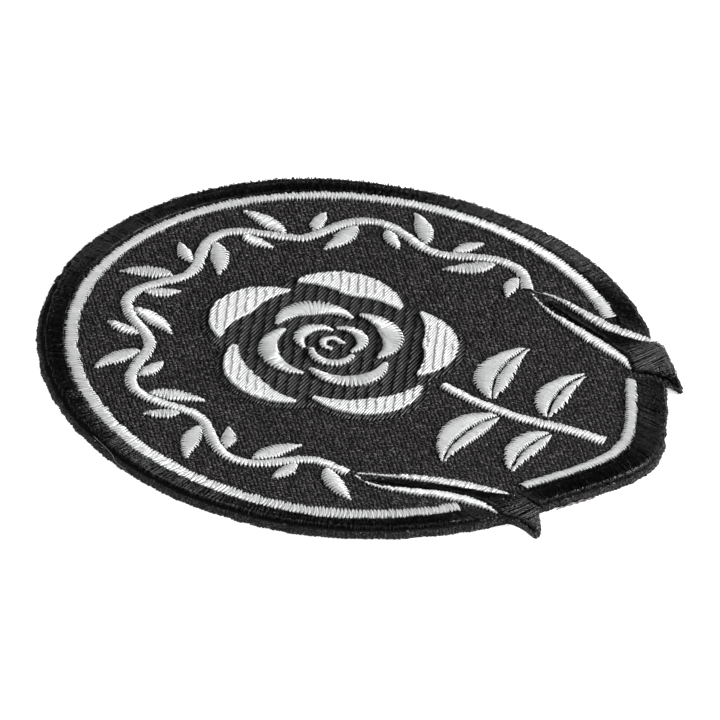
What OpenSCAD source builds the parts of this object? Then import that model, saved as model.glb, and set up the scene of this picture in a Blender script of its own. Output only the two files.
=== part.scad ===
/* [Patch outline] */
// Radius of the round part, out to the cut edge of the cloth
patch_r = 37.7; // [36:0.1:40]
// Height of the lobe's lowest point below the middle of the round part
lobe_drop = 41.8; // [41:0.1:43]
// Sideways place of the lobe's lowest point
lobe_x = 1.2; // [0:0.1:2]
// Steepness of the lobe's two flanks
lobe_slope = 0.6; // [0.55:0.01:0.65]
// Radius that rounds off the lobe's lowest point
lobe_round = 5; // [4:0.5:6]
// Ledge of bare cloth left outside the satin
ledge = 0.2; // [0.1:0.05:0.3]

/* [Layers] */
// Thickness of the clear heat-seal film on the back
film_t = 0.1; // [0.05:0.01:0.2]
// Thickness of the twill with its stabiliser and bobbin threads
cloth_t = 0.84; // [0.7:0.02:1.2]
// Clearance between pieces that lie on each other
gap = 0.02; // [0.01:0.01:0.05]
// Height of the satin border's crown above the cloth
border_h = 0.5; // [0.4:0.05:0.7]
// Height of the white satin lines above the cloth
line_h = 0.4; // [0.3:0.05:0.5]
// Thickness of the black fill under the rose
fill_t = 0.22; // [0.15:0.01:0.3]
// Height of the rose's petals above the black fill
petal_h = 0.36; // [0.3:0.02:0.6]

/* [Border and ring] */
// Radius of the border's inner edge
border_in_r = 34.85; // [34.6:0.05:35.2]
// Radius of the white ring's middle line
ring_r = 33.9; // [33.5:0.05:34]
// Width of the white ring
ring_w = 1.46; // [1.2:0.02:1.6]
// Angle where the white ring starts, at the lower right
ring_from = -42.7; // [-43:0.1:-40]
// Angle where the white ring ends, at the lower left
ring_to = 231.9; // [230:0.1:232]
// Width of the border along the lobe
lobe_border_w = 4; // [3.6:0.1:4.2]
// Width of the white line along the lobe
lobe_line_w = 1.5; // [1.2:0.1:1.6]

/* [Rose] */
// Middle of the rose, across and up
rose_at = [0, 2.4]; // [-2:0.2:3]
// How far the black fill reaches past the outer petals
fill_margin = 0.9; // [0.5:0.1:1.2]
// Width of a petal at its two ends
petal_end = 0.5; // [0.4:0.1:0.7]

/* [Vine] */
// Middle radius of the vine at its left end
vine_r_left = 25.7; // [25.5:0.1:26]
// Middle radius of the vine at its right end
vine_r_right = 27.1; // [27:0.1:27.3]
// How far the vine swings to each side
vine_swing = 2; // [1.8:0.1:2]
// Waves along the vine
vine_waves = 6; // [6:1:6]
// Width of the vine
vine_w = 1.4; // [1.2:0.1:1.5]
// Length of a large leaf on the vine
leaf_l = 6.8; // [5.5:0.1:6.8]
// Width of a large leaf on the vine
leaf_w = 2.3; // [1.8:0.1:2.4]
// Length of a small leaf on the vine
small_l = 4.4; // [3.8:0.1:4.6]
// Width of a small leaf on the vine
small_w = 1.8; // [1.4:0.1:1.9]

/* [Hidden] */
$fn = 96;
cloth_z = film_t + gap;
face_z = cloth_z + cloth_t;
thread_z = face_z + gap;
rose_z = thread_z + fill_t + gap;
satin_r = patch_r - ledge;
vine_from = -25.5;
vine_to = 208.8;
blunt = 0.12;
vein_half = 0.16;

// Rows of the two long hanging leaves: height, left edge, right edge
LEFT_LEAF = [
    [-13.0, -22.3, -21.9],
    [-16.0, -22.9, -20.2],
    [-20.0, -22.2, -17.9],
    [-24.0, -20.6, -16.2],
    [-28.0, -19.7, -15.2],
    [-31.5, -19.3, -14.9],
    [-33.8, -18.8, -15.0],
    [-35.0, -18.7, -15.6],
    [-36.0, -18.9, -17.2],
    [-36.8, -19.2, -19.0],
];
RIGHT_LEAF = [
    [-12.2, 24.3, 24.7],
    [-15.5, 22.0, 25.2],
    [-20.0, 19.9, 24.5],
    [-24.0, 18.5, 23.9],
    [-28.0, 17.4, 23.9],
    [-30.5, 16.6, 23.5],
    [-32.3, 16.3, 22.4],
    [-34.2, 16.5, 20.5],
    [-35.5, 17.0, 18.8],
    [-36.8, 17.3, 17.5],
];
LEAF_LAST = 9;
// Rows of a long leaf where its black rib starts to widen, and where its white lines end
RIB_ROW = 3.0;
LINE_ROW = 4.9;
rib_half = 0.42;
line_max = 1.7;

// Rose petals: distance of the petal's own centre, direction, radius of its edge,
// degrees to its tucked end, degrees to its free end, thickness in the middle
PETALS = [
    [8.2, 20, 7.6, 80, 58, 5.0],
    [8.2, 92, 7.7, 80, 58, 4.6],
    [8.1, 164, 7.5, 80, 58, 3.6],
    [8.0, 236, 7.6, 80, 58, 3.4],
    [8.2, 308, 7.5, 80, 58, 4.4],
    [4.4, 55, 5.0, 95, 70, 3.0],
    [4.4, 145, 5.0, 95, 70, 2.4],
    [4.3, 235, 5.0, 95, 70, 2.2],
    [4.4, 325, 4.9, 95, 70, 2.8],
    [2.0, 90, 2.9, 108, 84, 1.6],
    [2.0, 210, 2.8, 108, 84, 1.3],
    [2.0, 330, 2.8, 108, 84, 1.4],
];
OUTER_PETALS = 5;

// Leaves on the rose's stem: base across, base up, direction, length, half width, bend
STEM_LEAVES = [
    [-1.6, -21.6, 152, 12.0, 2.7, 46],
    [1.4, -19.2, 30, 12.0, 2.7, -46],
    [-1.2, -28.6, 158, 9.5, 2.2, 40],
    [1.9, -26.6, 24, 10.5, 2.3, -44],
];
// Middle line of the rose's stem: across, up
STEM = [[0.4, -13.0], [-0.4, -18.0], [-0.2, -24.5], [0.9, -30.0], [1.3, -34.8]];
stem_w = 1.6;

// Points, tables and curves
function polar(r, a) = [r * cos(a), r * sin(a)];
function mix(a, b, t) = a + (b - a) * t;
function steps(n) = [for (i = [0:n]) i / n];
// A smooth curve through the rows of a table, at row number t
function row_at(table, t) =
    let (
        last = len(table) - 1,
        i = min(floor(t), last - 1),
        f = t - i,
        a = table[max(i - 1, 0)],
        b = table[i],
        c = table[i + 1],
        d = table[min(i + 2, last)]
    )
    (2 * b + (c - a) * f + (2 * a - 5 * b + 4 * c - d) * f * f + (3 * b - a - 3 * c + d) * f * f * f) / 2;
function unit(v) = v / norm(v);
function left_of(v) = [-v[1], v[0]];
function tangent(line, i) = unit(line[min(i + 1, len(line) - 1)] - line[max(i - 1, 0)]);
// One edge of a line of even or changing width
function edge(line, half_widths, side) = [
    for (i = [0:len(line) - 1]) line[i] + side * half_widths[i] * left_of(tangent(line, i))
];

// A band of satin between two edges, given in either order: flat below, thin at its edges,
// crowned along its middle
module band(edge_a, edge_b, z, height) {
    profile = [[0, 0], [0, 0.45], [0.2, 0.85], [0.5, 1], [0.8, 0.85], [1, 0.45], [1, 0]];
    side = len(profile);
    rings = len(edge_a);
    half_way = floor(rings / 2);
    turned = cross(edge_a[half_way] - edge_a[half_way - 1], edge_b[half_way] - edge_a[half_way]) < 0;
    from = turned ? edge_b : edge_a;
    to = turned ? edge_a : edge_b;
    points = [
        for (i = [0:rings - 1], p = profile)
            let (at = mix(from[i], to[i], p[0])) [at[0], at[1], z + p[1] * height]
    ];
    walls = [
        for (i = [0:rings - 2], j = [0:side - 1], half = [0, 1])
            let (
                a = i * side + j,
                b = i * side + (j + 1) % side,
                c = b + side,
                d = a + side
            )
            half == 0 ? [a, b, c] : [a, c, d]
    ];
    first = [for (j = [side - 1:-1:0]) j];
    last = [for (j = [0:side - 1]) (rings - 1) * side + j];
    polyhedron(points, concat(walls, [first, last]));
}

// The lobe's outline, moved up by lift, at a place across the patch
function lobe_y(x, lift = 0) =
    -lobe_drop + lift
    + lobe_slope * (sqrt((x - lobe_x) * (x - lobe_x) + lobe_round * lobe_round) - lobe_round);
function lobe_edge(x_from, x_to, lift, n = 24) = [
    for (u = steps(n)) let (x = mix(x_from, x_to, u)) [x, lobe_y(x, lift)]
];

// Edges of a long leaf between two rows of its table, column 1 left and column 2 right
function leaf_edge(table, column, from, to, n = 10) = [
    for (u = steps(n)) let (row = row_at(table, mix(from, to, u))) [row[column], row[0]]
];
function leaf_outline(table, from, margin) = concat(
    [for (p = leaf_edge(table, 1, from, LEAF_LAST, 14)) p - [margin, 0]],
    [[(table[LEAF_LAST][1] + table[LEAF_LAST][2]) / 2, table[LEAF_LAST][0] - margin]],
    [for (p = leaf_edge(table, 2, LEAF_LAST, from, 14)) p + [margin, 0]]
);
// Thickness of a long leaf's white lines, which swell and run out to nothing
function line_thick(row, t) =
    min(line_max, 0.36 * (row[2] - row[1])) * pow(sin(180 * pow(t / LINE_ROW, 1.6)), 0.7);
// Half width of its black rib, which widens into the whole tip
function rib_half_at(row, t) =
    let (room = (row[2] - row[1]) / 2, free = room - (t < LINE_ROW ? max(blunt, line_thick(row, t)) + 0.15 : 0))
    max(blunt, min(free, mix(rib_half, 4, max(0, t - RIB_ROW) / 2)));

// The plan of the cloth: a round, a lobe and the two leaf tips that stick out between them
module cloth_plan() {
    circle(r = patch_r);
    polygon(concat([[-10, -20]], lobe_edge(-15.6, 16.6, 0, 32), [[12, -20]]));
    polygon(leaf_outline(LEFT_LEAF, 4, ledge));
    polygon(leaf_outline(RIGHT_LEAF, 4, ledge));
}

// Clear film on the back: it follows the cloth, but cuts across the two notches
module backing_film() {
    color("gainsboro")
        linear_extrude(film_t)
            union() {
                cloth_plan();
                polygon([[-13.3, -35.4], [-12.2, -36.7], [-9.2, -38.5], [-7.6, -38.8], [-8, -37], [-12, -34]]);
                polygon([[14.2, -35.4], [15.3, -36.1], [16.8, -35.7], [17, -34], [15, -33]]);
            }
}

module ground_twill() {
    color([0.09, 0.085, 0.1])
        translate([0, 0, cloth_z])
            linear_extrude(cloth_t)
                cloth_plan();
}

// Black satin along the round edge, from the right-hand leaf round to the left-hand one
module ring_border(n = 72) {
    outer = [for (u = steps(n)) polar(satin_r, mix(-49.6, 237.4, u))];
    inner = [for (u = steps(n)) polar(border_in_r, mix(-45.6, 234.4, u))];
    color([0.05, 0.05, 0.055])
        band(outer, inner, thread_z, border_h);
}

module lobe_border() {
    color([0.04, 0.04, 0.045])
        band(lobe_edge(-14.4, 15.6, lobe_border_w), lobe_edge(-15.0, 15.9, ledge), thread_z, border_h);
}

module white_ring() {
    half = ring_w / 2;
    color([0.93, 0.93, 0.92])
        translate([0, 0, thread_z])
            rotate([0, 0, ring_from])
                rotate_extrude(angle = ring_to - ring_from)
                    translate([ring_r, 0])
                        polygon([
                            [-half, 0], [half, 0], [half, 0.45 * line_h], [0.6 * half, 0.85 * line_h],
                            [0, line_h], [-0.6 * half, 0.85 * line_h], [-half, 0.45 * line_h]
                        ]);
}

module lobe_line() {
    lift = lobe_border_w + 2 * gap;
    color([0.93, 0.93, 0.92])
        band(
            lobe_edge(-12.6, 14.4, lift + lobe_line_w * 1.05),
            lobe_edge(-12.9, 14.7, lift),
            thread_z, line_h
        );
}

// The black satin of a long leaf: a rib between its white lines, then the tip across the border
module leaf_tip(table, n = 22) {
    rows = [for (u = steps(n)) mix(0.8, LEAF_LAST, u)];
    left = [
        for (t = rows) let (row = row_at(table, t)) [(row[1] + row[2]) / 2 - rib_half_at(row, t), row[0]]
    ];
    right = [
        for (t = rows) let (row = row_at(table, t)) [(row[1] + row[2]) / 2 + rib_half_at(row, t), row[0]]
    ];
    color([0.06, 0.06, 0.065])
        band(left, right, thread_z, border_h);
}

// A white line along one edge of a long leaf, inward being 1 on its left side and -1 on its right
module long_leaf_line(table, column, inward, n = 14) {
    rows = [for (u = steps(n)) mix(0.15, LINE_ROW - 0.05, u)];
    rim = [for (t = rows) let (row = row_at(table, t)) [row[column], row[0]]];
    inner = [
        for (i = [0:n])
            let (row = row_at(table, rows[i]))
            rim[i] + [inward * max(blunt, line_thick(row, rows[i])), 0]
    ];
    color([0.93, 0.93, 0.92])
        band(rim, inner, thread_z, line_h);
}

// Black fill that the rose stands on, one round for each outer petal
module rose_fill() {
    color([0.1, 0.1, 0.11])
        translate([rose_at[0], rose_at[1], thread_z]) {
            cylinder(r = PETALS[0][0] + 1, h = fill_t);
            for (i = [0:OUTER_PETALS - 1])
                translate(concat(polar(PETALS[i][0], PETALS[i][1]), 0))
                    cylinder(r = PETALS[i][2] + fill_margin, h = fill_t);
        }
}

// A petal: a crescent whose outer edge is an arc, thickest in its middle
module petal(row, n = 12) {
    centre = rose_at + polar(row[0], row[1]);
    outer = [for (u = steps(n)) centre + polar(row[2], row[1] + mix(-row[3], row[4], u))];
    inner = [
        for (u = steps(n))
            let (
                thick = petal_end + (row[5] - petal_end) * pow(sin(180 * u), 0.8),
                a = row[1] + mix(-row[3], row[4], u)
            )
            centre + polar(row[2] - thick, a)
    ];
    color([0.95, 0.95, 0.94])
        band(inner, outer, rose_z, petal_h);
}

// The rolled middle of the rose
module rose_heart(n = 18) {
    outer = [for (u = steps(n)) rose_at + polar(mix(1.7, 1.4, u), mix(-60, 215, u))];
    inner = [for (u = steps(n)) rose_at + polar(mix(1.0, 0.6, u), mix(-60, 215, u))];
    color([0.95, 0.95, 0.94])
        band(inner, outer, rose_z, petal_h * 0.8);
}

module stem(n = 14) {
    line = [for (u = steps(n)) row_at(STEM, u * (len(STEM) - 1))];
    widths = [for (u = steps(n)) stem_w / 2 * mix(0.8, 1.1, u)];
    color([0.93, 0.93, 0.92])
        band(edge(line, widths, 1), edge(line, widths, -1), thread_z, line_h);
}

// Middle line of a bent leaf, and how wide it is along its length
function leaf_line(base, a, length, bend, n) = [
    for (u = steps(n)) base + length * u * [cos(a + bend * u / 2), sin(a + bend * u / 2)]
];
function leaf_widths(half, n) = [for (u = steps(n)) blunt + (half - blunt) * sin(180 * pow(u, 0.8))];

// One half of a stem leaf, from its bare vein out to one edge, side being 1 or -1
module stem_leaf_half(row, side, fullness, n = 9) {
    line = leaf_line([row[0], row[1]], row[2], row[3], row[5], n);
    widths = [for (w = leaf_widths(row[4], n)) vein_half + max(2 * blunt, w * fullness)];
    vein = [for (w = widths) vein_half];
    color([0.93, 0.93, 0.92])
        band(edge(line, vein, side), edge(line, widths, side), thread_z, line_h);
}

// The vine swings in and out between the rose and the ring
function vine_point(u) =
    polar(
        mix(vine_r_right, vine_r_left, u) + vine_swing * sin(360 * vine_waves * u),
        mix(vine_from, vine_to, u)
    );
module vine(n = 84) {
    line = [for (u = steps(n)) vine_point(u)];
    widths = [for (u = steps(n)) vine_w / 2];
    color([0.93, 0.93, 0.92])
        band(edge(line, widths, 1), edge(line, widths, -1), thread_z, line_h);
}

// A leaf beside the vine, in the pocket of half wave number i, leaning along the vine
module vine_leaf(i, shift, length, width, lean, bend, n = 7) {
    u = (i - 0.5 + shift) / (2 * vine_waves);
    out = i % 2 == 1 ? -1 : 1;
    at = vine_point(u);
    away = unit(at) * out;
    a = atan2(away[1], away[0]) + lean * out;
    base = at + (vine_w / 2 + 0.45) / cos(lean) * polar(1, a);
    line = leaf_line(base, a, length, bend * out, n);
    widths = leaf_widths(width / 2, n);
    color([0.93, 0.93, 0.92])
        band(edge(line, widths, 1), edge(line, widths, -1), thread_z, line_h);
}

backing_film();
ground_twill();
ring_border();
lobe_border();
white_ring();
lobe_line();
leaf_tip(LEFT_LEAF);  // leaf_tip_left
leaf_tip(RIGHT_LEAF);  // leaf_tip_right
long_leaf_line(LEFT_LEAF, 1, 1);  // long_leaf_left_outer
long_leaf_line(LEFT_LEAF, 2, -1);  // long_leaf_left_inner
long_leaf_line(RIGHT_LEAF, 2, -1);  // long_leaf_right_outer
long_leaf_line(RIGHT_LEAF, 1, 1);  // long_leaf_right_inner
rose_fill();
rose_heart();
stem();
vine();
for (i = [1:len(PETALS)])
    petal(PETALS[i - 1]);
for (i = [1:len(STEM_LEAVES)])
    stem_leaf_half(STEM_LEAVES[i - 1], STEM_LEAVES[i - 1][5] > 0 ? -1 : 1, 1);
for (i = [1:len(STEM_LEAVES)])
    stem_leaf_half(STEM_LEAVES[i - 1], STEM_LEAVES[i - 1][5] > 0 ? 1 : -1, 0.62);
for (i = [1:2 * vine_waves])
    vine_leaf(i, 0.15, leaf_l, leaf_w, 20, 26);
for (i = [1:2 * vine_waves])
    vine_leaf(i, -0.18, small_l, small_w, -20, -20);
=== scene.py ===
# %% [markdown]
# # An embroidered clothing patch, stitch by stitch
# The real object is a small badge of black twill, cut round with a pointed lobe and two leaf tips, and sewn
# over by an embroidery machine. It lies on a table with its flat, film-covered back down.
# The CAD model holds the place and size of every sewn band as a plain, crowned strip. This lesson puts the
# real threads there: each stitch is its own little tube, because on a patch the light plays on the threads
# and not on the outline. A bump map could imitate them, but it has no teeth at the edges and no height.

# %% Load the fixed frame
import math

import bpy
import numpy as np
from mathutils import Matrix, Vector


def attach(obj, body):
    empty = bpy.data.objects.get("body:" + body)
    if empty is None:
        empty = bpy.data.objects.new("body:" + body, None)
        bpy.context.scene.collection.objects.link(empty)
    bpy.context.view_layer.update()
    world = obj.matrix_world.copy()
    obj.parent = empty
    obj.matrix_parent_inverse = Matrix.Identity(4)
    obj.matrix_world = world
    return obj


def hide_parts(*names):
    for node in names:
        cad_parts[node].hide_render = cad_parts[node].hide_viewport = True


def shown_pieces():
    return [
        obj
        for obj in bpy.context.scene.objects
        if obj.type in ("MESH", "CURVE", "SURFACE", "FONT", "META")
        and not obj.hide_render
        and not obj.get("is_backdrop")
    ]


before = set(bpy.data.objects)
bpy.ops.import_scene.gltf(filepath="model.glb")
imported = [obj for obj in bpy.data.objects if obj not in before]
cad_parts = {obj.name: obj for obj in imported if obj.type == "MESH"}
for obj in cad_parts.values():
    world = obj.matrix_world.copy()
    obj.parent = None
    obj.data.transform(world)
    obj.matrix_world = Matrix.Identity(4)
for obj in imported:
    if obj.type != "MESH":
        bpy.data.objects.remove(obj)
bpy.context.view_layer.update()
bpy.ops.object.select_all(action="DESELECT")
MM = 0.001

# %% [markdown]
# ## The camera
# A long lens from more than a metre away shows almost no perspective, as in a catalogue picture of a small
# object. The camera stands 34.65 degrees above the table and is rolled a little, so the picture leans.
# A camera looks along its own -Z, so its matrix is built from the three directions right, up and back.

# %% Camera
AZIMUTH, ELEVATION, ROLL = math.radians(-64), math.radians(34.65), math.radians(5.24)
DISTANCE = 1.3
LENS_MM, SENSOR_MM = 533.4, 36
AIM = Vector((0, -1.65, 0.5)) * MM


def place_camera(target):
    """The camera, looking at a point of the patch."""
    back = Vector((math.sin(AZIMUTH) * math.cos(ELEVATION), -math.cos(AZIMUTH) * math.cos(ELEVATION),
                   math.sin(ELEVATION)))
    level = Vector((0, 0, 1)).cross(back).normalized()
    upright = back.cross(level)
    right = level * math.cos(ROLL) + upright * math.sin(ROLL)
    up = upright * math.cos(ROLL) - level * math.sin(ROLL)
    bpy.ops.object.camera_add()
    camera = bpy.context.object
    turned = Matrix((right, up, back)).transposed().to_4x4()
    camera.matrix_world = Matrix.Translation(target + back * DISTANCE) @ turned
    camera.data.lens, camera.data.sensor_width = LENS_MM, SENSOR_MM
    camera.data.clip_start, camera.data.clip_end = 0.05, 100
    bpy.context.scene.camera = camera
    return camera


camera = place_camera(AIM)
print("camera at", [round(x, 3) for x in camera.location])

# %% [markdown]
# ## Table and light
# The picture is a bright studio shot on a lit white table, with soft boxes round the patch. Threads shine
# like tiny cylinders: a satin band lights up only where a lamp stands square to its threads. The main lamp
# is low on the right, and the second low on the left. The table glows a little by itself, as a lit
# white table does, and that keeps its shadows faint.

# %% Floor and lamps
LAMP_AWAY, LAMP_SIZE = 1.2, 0.6
ROOM_GLOW = 0.024
FLOOR_SIZE = 40


def soft_lamp(name, azimuth, elevation, distance, size, watts):
    """A square area lamp that looks at the patch, azimuth counted from +X in degrees."""
    a, e = math.radians(azimuth), math.radians(elevation)
    towards = Vector((math.cos(a) * math.cos(e), math.sin(a) * math.cos(e), math.sin(e)))
    bpy.ops.object.light_add(type="AREA", location=towards * distance)
    lamp = bpy.context.object
    lamp.name, lamp.data.name = name, name
    lamp.data.shape, lamp.data.size, lamp.data.energy = "SQUARE", size, watts
    lamp.rotation_euler = towards.to_track_quat("Z", "Y").to_euler()
    return lamp


soft_lamp("right_lamp", azimuth=-62, elevation=22, distance=LAMP_AWAY, size=LAMP_SIZE, watts=27)
soft_lamp("left_lamp", azimuth=145, elevation=27, distance=LAMP_AWAY, size=LAMP_SIZE, watts=9)
world = bpy.data.worlds.new("studio")
world.use_nodes = True
room = world.node_tree.nodes["Background"]
room.inputs["Color"].default_value = (1, 1, 1, 1)
room.inputs["Strength"].default_value = ROOM_GLOW
bpy.context.scene.world = world
bpy.context.scene.view_settings.view_transform = "Standard"

bpy.ops.mesh.primitive_plane_add(size=FLOOR_SIZE, location=(0, 0, 0))
floor = bpy.context.object
floor.name = "floor"
floor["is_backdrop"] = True

# %% [markdown]
# ## Small helpers for materials
# A procedural material is a chain of nodes. Writing each chain by hand is long, so one helper adds a node
# and sets its inputs, and another starts a material around its shader.

# %% Material helpers
def new_material(name, **shader_inputs):
    """A material and its node tree, with plain numbers set straight on the shader's sockets."""
    material = bpy.data.materials.new(name)
    material.use_nodes = True
    shader = material.node_tree.nodes["Principled BSDF"]
    for socket, value in shader_inputs.items():
        shader.inputs[socket.replace("_", " ")].default_value = value
    return material, material.node_tree, shader


def add_node(tree, kind, links=None, **settings):
    """One node. Settings that it has as inputs are set there and others on the node. Links name the sources
    of its inputs."""
    node = tree.nodes.new(kind)
    for key, value in settings.items():
        if key in node.inputs:
            node.inputs[key].default_value = value
        else:
            setattr(node, key, value)
    for socket, source in (links or {}).items():
        tree.links.new(source, node.inputs[socket])
    return node


def ramp(tree, source, stops):
    """A colour ramp from (position, colour) stops."""
    node = add_node(tree, "ShaderNodeValToRGB", {"Fac": source})
    elements = node.color_ramp.elements
    while len(elements) < len(stops):
        elements.new(0.5)
    for element, (position, colour) in zip(elements, stops):
        element.position = position
        element.color = (*colour, 1) if len(colour) == 3 else colour
    return node.outputs["Color"]


def blend(tree, a, b, share):
    """A value that runs from a to b, by a fixed share."""
    node = add_node(tree, "ShaderNodeMix", {"A": a, "B": b}, data_type="FLOAT", Factor=share)
    return node.outputs["Result"]


def noise(tree, place, scale, detail=3.0):
    """A cloudy pattern, drawn by the place given."""
    node = add_node(tree, "ShaderNodeTexNoise", {"Vector": place}, Scale=scale, Detail=detail)
    return node.outputs["Fac"]


def between(tree, value, start, stop, low, high):
    """A value that goes from low to high while the one given goes from start to stop."""
    node = add_node(tree, "ShaderNodeMapRange", {"Value": value})
    node.inputs["From Min"].default_value, node.inputs["From Max"].default_value = start, stop
    node.inputs["To Min"].default_value, node.inputs["To Max"].default_value = low, high
    return node.outputs["Result"]


def grey(value):
    return (value, value, value)


print("helpers for nodes, ramps, noise and ranges are ready")

# %% [markdown]
# ## Floor material
# The table is plain, but a single flat colour looks like plastic, so a very faint, large noise moves its
# whiteness. It also gives off a little light of its own, as a lit table does.

# %% Floor material
def table_material():
    material, tree, shader = new_material("pale_table", Emission_Color=(1, 1, 1, 1), Emission_Strength=0.8)
    place = add_node(tree, "ShaderNodeTexCoord").outputs["Object"]
    whiteness = ramp(tree, noise(tree, place, 3.0), [(0.3, grey(0.93)), (0.7, grey(0.96))])
    tree.links.new(whiteness, shader.inputs["Base Color"])
    shader.inputs["Roughness"].default_value = 0.8
    return material


floor.data.materials.append(table_material())
print("the floor is", floor.data.materials[0].name)

# %% [markdown]
# ## Thread materials
# Embroidery thread is a bundle of very fine filaments, smooth and shiny. Each stitch carries two values of
# its own: a UV map that runs along and round the thread, and a number called strand. A noise drawn out
# along the UV map imitates the filaments, and strand shifts it, so no two stitches shine in the same place.
# The palest values of that noise and of a finer noise of hairs are painted glints: pale flecks in the
# thread's colour where single filaments would catch the light.
# Every filament is a tiny cylinder, so the gloss spreads widely across the thread and little along it. An
# anisotropic shader does that, with its tangent taken from the UV map and turned by a quarter. White
# thread also throws light back from inside, and a share of metal in the shader comes close to that.

# %% Thread materials
def thread_material(name, colours, roughness, silky, shine, flecked, across=0.0, ruffled=0.3):
    """Thread of fine filaments: its colour runs from dark to light, with a few pale flecks that are painted
    glints of single filaments. Flecked says how much of that is in one stitch, silky how much light comes
    back from inside the filaments, across how much wider the gloss is across than along, and ruffled how
    strongly a fine noise of hairs marks the colour, with its painted glints, and the bump."""
    material, tree, shader = new_material(name, Metallic=silky, Specular_IOR_Level=shine,
                                          Anisotropic=across, Anisotropic_Rotation=0.25)
    if across:
        tangent = add_node(tree, "ShaderNodeTangent", direction_type="UV_MAP", uv_map="thread")
        tree.links.new(tangent.outputs["Tangent"], shader.inputs["Tangent"])
    along = add_node(tree, "ShaderNodeUVMap", uv_map="thread").outputs["UV"]
    stitch = add_node(tree, "ShaderNodeAttribute", attribute_name="strand").outputs["Fac"]
    drawn_out = add_node(tree, "ShaderNodeMapping", {"Vector": along})
    drawn_out.inputs["Scale"].default_value = (0.45, 0.8, 1)
    fibres = add_node(tree, "ShaderNodeTexNoise", {"Vector": drawn_out.outputs["Vector"], "W": stitch},
                      noise_dimensions="4D", Scale=6.0, Detail=3.0).outputs["Fac"]
    place = add_node(tree, "ShaderNodeTexCoord").outputs["Object"]
    hairs = noise(tree, place, 3000.0)
    filaments_and_glints = blend(tree, fibres, hairs, ruffled)
    # the ramp's palest stop paints glints of single filaments into the colour
    thread_colour_and_glints = ramp(tree, blend(tree, stitch, filaments_and_glints, flecked), list(zip((0.3, 0.6, 0.7), colours)))
    tree.links.new(thread_colour_and_glints, shader.inputs["Base Color"])
    tree.links.new(between(tree, filaments_and_glints, 0.35, 0.65, *roughness), shader.inputs["Roughness"])
    ruffle = add_node(tree, "ShaderNodeBump", {"Height": hairs}, Strength=1.0, Distance=ruffled * 0.00018)
    twist = add_node(tree, "ShaderNodeTexWave", {"Vector": along}, bands_direction="DIAGONAL", Scale=1.0)
    relief = blend(tree, twist.outputs["Fac"], fibres, 0.75)
    bump = add_node(tree, "ShaderNodeBump", {"Height": relief, "Normal": ruffle.outputs["Normal"]},
                    Strength=0.8, Distance=0.00005)
    tree.links.new(bump.outputs["Normal"], shader.inputs["Normal"])
    return material


# each thread: its dark tone, its light tone and the pale colour of its painted glints
WHITE = ((0.8, 0.805, 0.81), (0.89, 0.895, 0.895), grey(0.95))
SATIN_BLACK = (grey(0.0004), (0.003, 0.0028, 0.0031), (0.09, 0.085, 0.09))
FILL_BLACK = ((0.0008, 0.0007, 0.0009), (0.006, 0.0057, 0.0065), (0.1, 0.095, 0.1))
white_thread = thread_material("white_thread", WHITE, roughness=(0.35, 0.55), silky=0.25, shine=0.6,
                               flecked=0.5, across=0.8, ruffled=0.12)
black_satin = thread_material("black_satin", SATIN_BLACK, roughness=(0.2, 0.5), silky=0.0, shine=0.55,
                              flecked=0.8, across=0.7, ruffled=0.6)
black_fill = thread_material("black_fill", FILL_BLACK, roughness=(0.32, 0.6), silky=0.0, shine=0.8,
                             flecked=0.8, across=0.8, ruffled=0.5)
print("thread materials:", white_thread.name, black_satin.name, black_fill.name)

# %% [markdown]
# ## Plan of the patch
# The CAD source draws everything from short tables, in millimetres, and they stand here too: the rows of
# the two long hanging leaves, the rose's petals, its stem and its leaves. Only the last rows of the two
# leaves differ, because the tips of the real patch were cut slimmer. A curve through the rows of a table
# gives every point between them.

# %% Tables
PATCH_R, LEDGE = 37.7, 0.2
FACE_Z, THREAD_Z, ROSE_Z = 0.96, 0.98, 1.22
BORDER_H, LINE_H, RING_H, PETAL_H, HEART_H = 0.5, 0.4, 0.34, 0.36, 0.29
# a leaf's row: place along Y, its left edge and its right edge
LEFT_LEAF = np.array([
    [-13.0, -22.3, -21.9], [-16.0, -22.9, -20.2], [-20.0, -22.2, -17.9], [-24.0, -20.6, -16.2],
    [-28.0, -19.7, -15.2], [-31.5, -19.3, -14.9], [-33.5, -19.0, -15.1], [-34.6, -19.15, -15.9],
    [-35.7, -19.5, -17.35], [-36.7, -20.0, -19.0]])
RIGHT_LEAF = np.array([
    [-12.2, 24.3, 24.7], [-15.5, 22.0, 25.2], [-20.0, 19.9, 24.5], [-24.0, 18.5, 23.9],
    [-28.0, 17.4, 23.9], [-30.5, 16.6, 23.5], [-32.3, 17.0, 22.3], [-34.2, 17.45, 20.3],
    [-35.6, 17.2, 18.55], [-37.0, 16.6, 16.9]])
# a petal: distance and direction from the rose's middle, radius, degrees to both sides, thickness
PETALS = [
    [8.2, 20, 7.6, 80, 58, 5.0], [8.2, 92, 7.7, 80, 58, 4.6], [8.1, 164, 7.5, 80, 58, 3.6],
    [8.0, 236, 7.6, 80, 58, 3.4], [8.2, 308, 7.5, 80, 58, 4.4], [4.4, 55, 5.0, 95, 70, 3.0],
    [4.4, 145, 5.0, 95, 70, 2.4], [4.3, 235, 5.0, 95, 70, 2.2], [4.4, 325, 4.9, 95, 70, 2.8],
    [2.0, 90, 2.9, 108, 84, 1.6], [2.0, 210, 2.8, 108, 84, 1.3], [2.0, 330, 2.8, 108, 84, 1.4]]
ROSE_AT = np.array([0, 2.4])
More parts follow.
